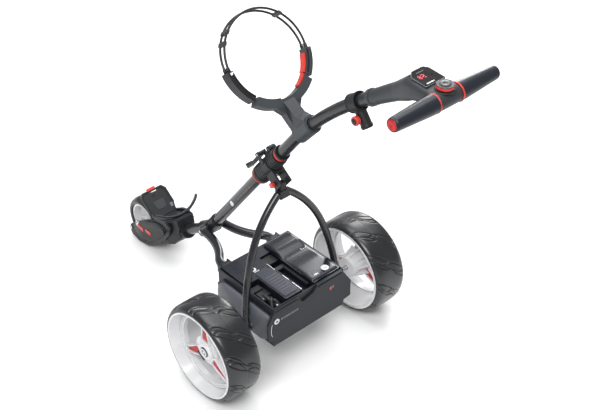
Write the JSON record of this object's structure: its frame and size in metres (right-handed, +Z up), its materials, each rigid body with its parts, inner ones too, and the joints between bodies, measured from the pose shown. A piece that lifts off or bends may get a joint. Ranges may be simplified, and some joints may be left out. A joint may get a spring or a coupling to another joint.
{
  "type": "electric golf trolley",
  "caption": "Folding electric golf trolley: sprung-latch tube frame on a driven pair of wide rear wheels and one front wheel, lift-out battery, bag rests and a T handle with a speed dial.",
  "frame": {"origin": "on the ground, in the centre plane, under the middle of the trolley's length", "axes": "+X to the trolley's right, +Y forward in the direction of travel, +Z up"},
  "size_m": [0.595, 1.158, 0.991],
  "materials": {
    "frame_graphite": "satin dark graphite powder coat",
    "casting_black": "matt black, fine grain",
    "plastic_grey": "dark grey, fine grain",
    "battery_black": "black, semi-gloss",
    "tyre_rubber": "black, slight sheen",
    "grip_rubber": "soft dark grey",
    "rim_white": "gloss white",
    "red_trim": "gloss red",
    "steel": "brushed",
    "gear_steel": "machined",
    "motor_steel": "black motor case",
    "screen_glass": "black gloss display",
    "strap_black": "matt cord",
    "cell_wrap": "shrink wrap"
  },
  "bodies": {
    "frame": {"main_tube": "frame_graphite", "front_tube": "frame_graphite", "junction_casting": "casting_black", "pivot_pins": "steel", "front_housing": "casting_black", "fork_covers": "plastic_grey", "front_axle": "steel", "bag_base_plate": "casting_black", "bag_cradle": "casting_black", "hinge_block": "casting_black", "strut_lug": "casting_black"},
    "stays": {"left_stay": "frame_graphite", "right_stay": "frame_graphite"},
    "power_unit": {"tray": "plastic_grey", "rear_panel": "plastic_grey", "left_side_cover": "plastic_grey", "right_side_cover": "plastic_grey", "motor_case": "motor_steel", "gearbox_case": "plastic_grey", "axle_bearings": "steel", "power_cable": "strap_black", "battery_plug": "battery_black", "frame_pins": "steel"},
    "struts": {"left_strut": "frame_graphite", "right_strut": "frame_graphite", "strut_crown": "casting_black"},
    "wheelset": {"rear_axle": "steel", "axle_gear": "gear_steel", "left_rim": "rim_white", "right_rim": "rim_white", "left_tyre": "tyre_rubber", "right_tyre": "tyre_rubber"},
    "left_release": {"left_wheel_release": "casting_black"},
    "right_release": {"right_wheel_release": "casting_black"},
    "layshaft": {"layshaft_gear": "gear_steel"},
    "rotor": {"motor_rotor": "gear_steel"},
    "battery": {"battery_case": "battery_black", "battery_lid": "battery_black", "battery_cells": "cell_wrap"},
    "bail": {"battery_handle": "battery_black"},
    "front_wheel": {"front_rim": "rim_white", "front_tyre": "tyre_rubber"},
    "base_button": {"base_release_button": "red_trim"},
    "strut_button": {"strut_release": "red_trim"},
    "lever": {"fold_lever": "casting_black"},
    "handle_frame": {"upper_tube": "frame_graphite", "hinge_knuckle": "casting_black", "upper_bag_bracket": "casting_black", "left_strap_buckle": "casting_black", "right_strap_buckle": "casting_black", "bag_strap": "strap_black", "accessory_clamp": "casting_black", "handle_neck": "plastic_grey", "left_grip": "grip_rubber", "right_grip": "grip_rubber", "console_screen": "screen_glass"},
    "latch": {"strap_latch": "red_trim"},
    "knob": {"accessory_knob": "red_trim"},
    "stem": {"dial_stem": "steel"},
    "dial": {"speed_dial": "red_trim"}
  },
  "joints": [
    {"name": "stay_fold", "type": "hinge", "parent": "frame", "child": "stays", "pos_m": [0, 0.216, 0.205], "axis": [1, 0, 0], "range_deg": [-33, 0]},
    {"name": "tray_fold", "type": "hinge", "parent": "stays", "child": "power_unit", "pos_m": [0, 0.058, 0.205], "axis": [1, 0, 0], "range_deg": [0, 68]},
    {"name": "strut_swing", "type": "hinge", "parent": "power_unit", "child": "struts", "pos_m": [0, -0.108, 0.15], "axis": [1, 0, 0], "range_deg": [-22, 0]},
    {"name": "drive_spin", "type": "hinge", "parent": "power_unit", "child": "wheelset", "pos_m": [0, -0.092, 0.133], "axis": [1, 0, 0], "continuous": true},
    {"name": "layshaft_spin", "type": "hinge", "parent": "power_unit", "child": "layshaft", "pos_m": [0, -0.064, 0.133], "axis": [1, 0, 0], "continuous": true},
    {"name": "rotor_spin", "type": "hinge", "parent": "power_unit", "child": "rotor", "pos_m": [0, -0.04, 0.133], "axis": [1, 0, 0], "continuous": true},
    {"name": "left_release_push", "type": "slide", "parent": "wheelset", "child": "left_release", "axis": [1, 0, 0], "range_m": [0, 0.003], "stiffness_N_per_m": 400},
    {"name": "right_release_push", "type": "slide", "parent": "wheelset", "child": "right_release", "axis": [-1, 0, 0], "range_m": [0, 0.003], "stiffness_N_per_m": 400},
    {"name": "battery_lift", "type": "slide", "parent": "power_unit", "child": "battery", "axis": [0, 0, 1], "range_m": [0, 0.03]},
    {"name": "bail_swing", "type": "hinge", "parent": "battery", "child": "bail", "pos_m": [0, -0.144, 0.219], "axis": [1, 0, 0], "range_deg": [0, 90]},
    {"name": "front_wheel_spin", "type": "hinge", "parent": "frame", "child": "front_wheel", "pos_m": [0, 0.508, 0.071], "axis": [1, 0, 0], "continuous": true},
    {"name": "base_button_push", "type": "slide", "parent": "frame", "child": "base_button", "axis": [0, -0.7965, -0.6046], "range_m": [0, 0.0025], "stiffness_N_per_m": 400},
    {"name": "strut_button_push", "type": "slide", "parent": "frame", "child": "strut_button", "axis": [1, 0, 0], "range_m": [0, 0.003], "stiffness_N_per_m": 400},
    {"name": "lever_swing", "type": "hinge", "parent": "frame", "child": "lever", "pos_m": [0, -0.01045, 0.5604], "axis": [1, 0, 0], "range_deg": [0, 100]},
    {"name": "handle_fold", "type": "hinge", "parent": "frame", "child": "handle_frame", "pos_m": [0, -0.01909, 0.56765], "axis": [1, 0, 0], "range_deg": [-160, 0], "deforming": ["bag_strap"]},
    {"name": "latch_swing", "type": "hinge", "parent": "handle_frame", "child": "latch", "pos_m": [0.0757, -0.06268, 0.77415], "axis": [0, -0.7848, 0.6198], "range_deg": [0, 35]},
    {"name": "knob_turn", "type": "hinge", "parent": "handle_frame", "child": "knob", "pos_m": [0, -0.33876, 0.81224], "axis": [1, 0, 0], "continuous": true},
    {"name": "dial_push", "type": "slide", "parent": "handle_frame", "child": "stem", "axis": [0, 0, -1], "range_m": [0, 0.002], "stiffness_N_per_m": 600},
    {"name": "dial_turn", "type": "hinge", "parent": "stem", "child": "dial", "pos_m": [0, -0.556, 0.983], "axis": [0, 0, 1], "continuous": true}
  ],
  "couplings": [
    {"joint": "tray_fold", "follows": "stay_fold", "ratio": -2.037},
    {"joint": "strut_swing", "follows": "stay_fold", "ratio": 0.655},
    {"joint": "layshaft_spin", "follows": "drive_spin", "ratio": -3},
    {"joint": "rotor_spin", "follows": "drive_spin", "ratio": 9}
  ]
}
